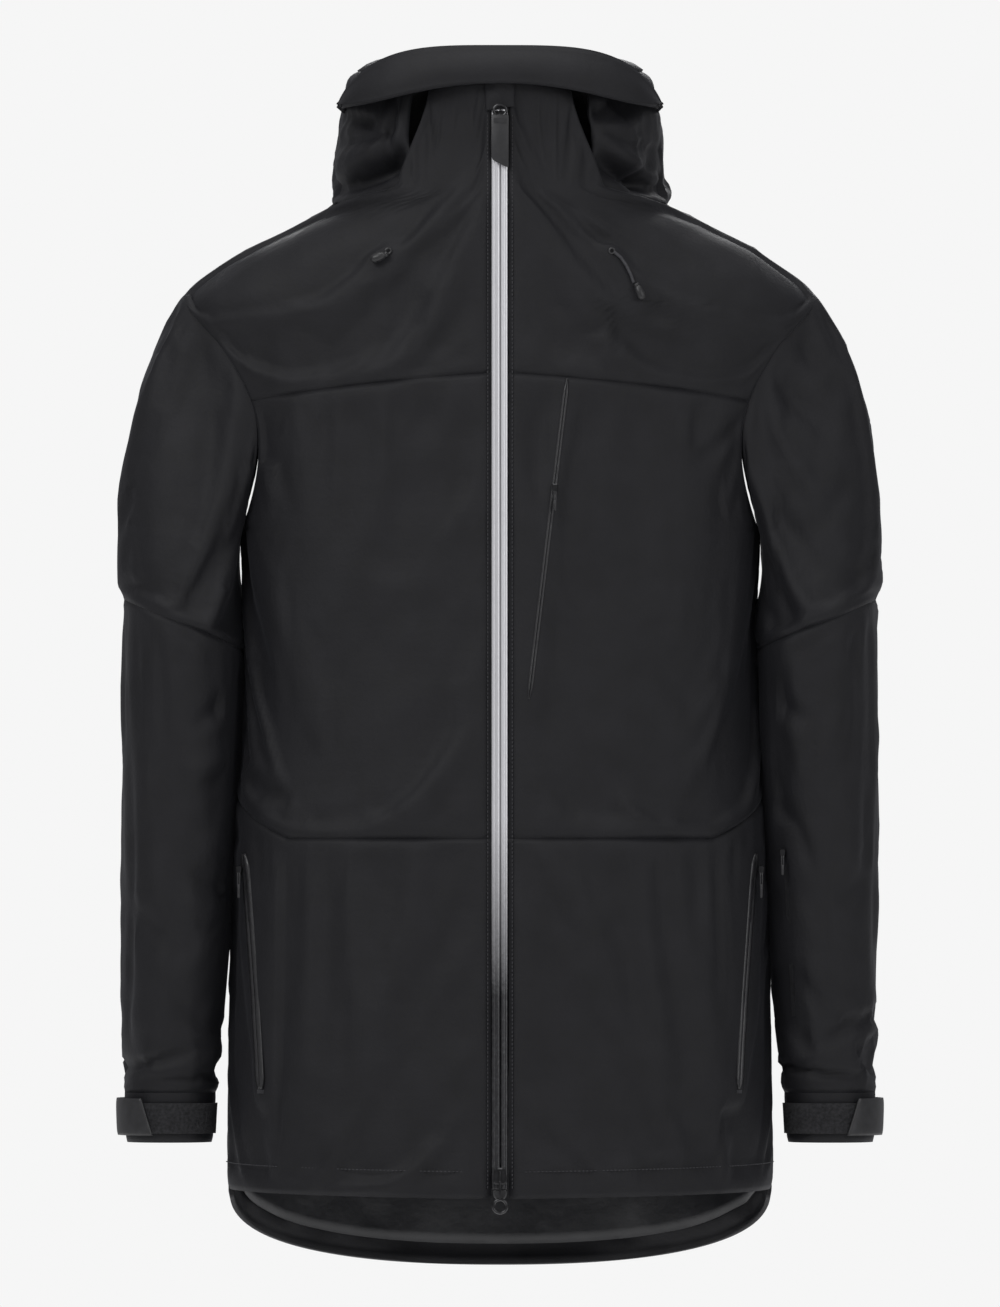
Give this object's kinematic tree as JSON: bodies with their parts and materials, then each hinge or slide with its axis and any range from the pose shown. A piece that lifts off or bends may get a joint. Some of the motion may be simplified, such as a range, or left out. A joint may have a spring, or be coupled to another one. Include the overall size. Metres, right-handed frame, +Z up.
{
  "type": "ski jacket",
  "caption": "Insulated hooded ski jacket, zipped shut, with two-way front zip, zipped pockets, long sleeves, cuff tabs and a dropped back hem",
  "frame": {"origin": "hanger loop inside the back of the neck, from which the jacket hangs", "axes": "+Z up, -Y the jacket's front, +X the wearer's left"},
  "size_m": [0.6404, 0.3195, 1.0174],
  "materials": {
    "shell_fabric": "matt near-black woven shell",
    "lining_satin": "black satin lining",
    "zip_tape": "glossy coated zip tape",
    "zip_coil": "nylon coil and cord",
    "slider_metal": "black coated zinc",
    "moulded_rubber": "satin moulded rubber",
    "loop_fastener": "fuzzy loop fastener and brushed chin guard"
  },
  "bodies": {
    "shell": {"back_lower_panel": "shell_fabric", "back_panel": "shell_fabric", "back_yoke": "shell_fabric", "front_panel_left": "shell_fabric", "front_panel_right": "shell_fabric", "front_yoke_left": "shell_fabric", "front_yoke_right": "shell_fabric", "lower_front_left": "shell_fabric", "lower_front_right": "shell_fabric", "collar_left": "shell_fabric", "collar_right": "shell_fabric", "collar_stand_back": "lining_satin", "chin_guard": "loop_fastener", "hanger_loop": "lining_satin", "hood_brim": "shell_fabric", "hood_centre": "shell_fabric", "hood_lining": "lining_satin", "hood_side_left": "shell_fabric", "hood_side_right": "shell_fabric", "lining_back": "lining_satin", "lining_front_left": "lining_satin", "lining_front_right": "lining_satin", "powder_skirt": "lining_satin", "zip_coil_left": "zip_coil", "zip_coil_right": "zip_coil", "zip_end_box": "zip_coil", "zip_garage": "shell_fabric", "zip_tape_left": "zip_tape", "zip_tape_right": "zip_tape", "chest_zip_tape": "zip_tape", "hand_zip_tape_left": "zip_tape", "hand_zip_tape_right": "zip_tape", "drawcord_left": "zip_coil", "cord_end_left": "moulded_rubber", "cord_end_right": "moulded_rubber"},
    "main_slider": {"main_slider": "slider_metal"},
    "main_puller": {"main_puller": "moulded_rubber"},
    "bottom_slider": {"bottom_slider": "slider_metal"},
    "bottom_puller": {"bottom_puller": "slider_metal"},
    "chest_slider": {"chest_slider": "slider_metal"},
    "chest_puller": {"chest_puller": "moulded_rubber"},
    "hand_slider_left": {"hand_slider_left": "slider_metal"},
    "hand_puller_left": {"hand_puller_left": "moulded_rubber"},
    "upper_sleeve_left": {"upper_sleeve_left": "shell_fabric", "upper_sleeve_lining_left": "lining_satin"},
    "lower_sleeve_left": {"lower_sleeve_left": "shell_fabric", "cuff_left": "shell_fabric", "cuff_patch_left": "loop_fastener", "sleeve_zip_tape": "zip_tape"},
    "cuff_tab_left": {"cuff_tab_left": "moulded_rubber"},
    "hand_slider_right": {"hand_slider_right": "slider_metal"},
    "hand_puller_right": {"hand_puller_right": "moulded_rubber"},
    "upper_sleeve_right": {"upper_sleeve_right": "shell_fabric", "upper_sleeve_lining_right": "lining_satin"},
    "lower_sleeve_right": {"lower_sleeve_right": "shell_fabric", "cuff_right": "shell_fabric", "cuff_patch_right": "loop_fastener"},
    "cuff_tab_right": {"cuff_tab_right": "moulded_rubber"},
    "sleeve_slider": {"sleeve_slider": "slider_metal"},
    "sleeve_puller": {"sleeve_puller": "moulded_rubber"}
  },
  "joints": [
    {"name": "main_slider_travel", "type": "slide", "parent": "shell", "child": "main_slider", "axis": [0, -0.0803, -0.9968], "range_m": [0, 0.55]},
    {"name": "main_puller_swing", "type": "hinge", "parent": "main_slider", "child": "main_puller", "pos_m": [0, -0.16838, 0.089], "axis": [-1, 0, 0], "range_deg": [0, 150]},
    {"name": "bottom_slider_travel", "type": "slide", "parent": "shell", "child": "bottom_slider", "axis": [0, 0.0803, 0.9968], "range_m": [0, 0.25]},
    {"name": "bottom_puller_swing", "type": "hinge", "parent": "bottom_slider", "child": "bottom_puller", "pos_m": [0, -0.23923, -0.807], "axis": [-1, 0, 0], "range_deg": [0, 150]},
    {"name": "chest_slider_travel", "type": "slide", "parent": "shell", "child": "chest_slider", "axis": [-0.1206, -0.0859, -0.989], "range_m": [0, 0.16]},
    {"name": "chest_puller_swing", "type": "hinge", "parent": "chest_slider", "child": "chest_puller", "pos_m": [0.04577, -0.19337, -0.2315], "axis": [-1, 0, 0], "range_deg": [0, 150]},
    {"name": "hand_slider_left_travel", "type": "slide", "parent": "shell", "child": "hand_slider_left", "axis": [-0.075, -0.2027, -0.9764], "range_m": [0, 0.15]},
    {"name": "hand_puller_left_swing", "type": "hinge", "parent": "hand_slider_left", "child": "hand_puller_left", "pos_m": [0.21804, -0.13751, -0.5495], "axis": [-1, 0, 0], "range_deg": [0, 150]},
    {"name": "hand_slider_right_travel", "type": "slide", "parent": "shell", "child": "hand_slider_right", "axis": [0.075, -0.2027, -0.9764], "range_m": [0, 0.15]},
    {"name": "hand_puller_right_swing", "type": "hinge", "parent": "hand_slider_right", "child": "hand_puller_right", "pos_m": [-0.21804, -0.13751, -0.5495], "axis": [-1, 0, 0], "range_deg": [0, 150]},
    {"name": "sleeve_slider_travel", "type": "slide", "parent": "lower_sleeve_left", "child": "sleeve_slider", "axis": [0.0528, 0.0194, -0.9984], "range_m": [0, 0.12]},
    {"name": "sleeve_puller_swing", "type": "hinge", "parent": "sleeve_slider", "child": "sleeve_puller", "pos_m": [0.23579, -0.13148, -0.5355], "axis": [-1, 0, 0], "range_deg": [0, 150]},
    {"name": "shoulder_left", "type": "hinge", "parent": "shell", "child": "upper_sleeve_left", "pos_m": [0.256, -0.078, -0.068], "axis": [0, -1, 0], "range_deg": [0, 35]},
    {"name": "elbow_left", "type": "hinge", "parent": "upper_sleeve_left", "child": "lower_sleeve_left", "pos_m": [0.264, -0.144, -0.358], "axis": [-1, 0, 0], "range_deg": [0, 45], "stiffness_Nm_per_rad": 0.5, "springref_deg": -34.38},
    {"name": "cuff_tab_left_open", "type": "hinge", "parent": "lower_sleeve_left", "child": "cuff_tab_left", "pos_m": [0.30909, -0.04786, -0.752], "axis": [0, 0, 1], "range_deg": [0, 100]},
    {"name": "shoulder_right", "type": "hinge", "parent": "shell", "child": "upper_sleeve_right", "pos_m": [-0.256, -0.078, -0.068], "axis": [0, 1, 0], "range_deg": [0, 35]},
    {"name": "elbow_right", "type": "hinge", "parent": "upper_sleeve_right", "child": "lower_sleeve_right", "pos_m": [-0.264, -0.144, -0.358], "axis": [-1, 0, 0], "range_deg": [0, 45], "stiffness_Nm_per_rad": 0.5, "springref_deg": -34.38},
    {"name": "cuff_tab_right_open", "type": "hinge", "parent": "lower_sleeve_right", "child": "cuff_tab_right", "pos_m": [-0.30909, -0.04786, -0.752], "axis": [0, 0, -1], "range_deg": [0, 100]}
  ]
}
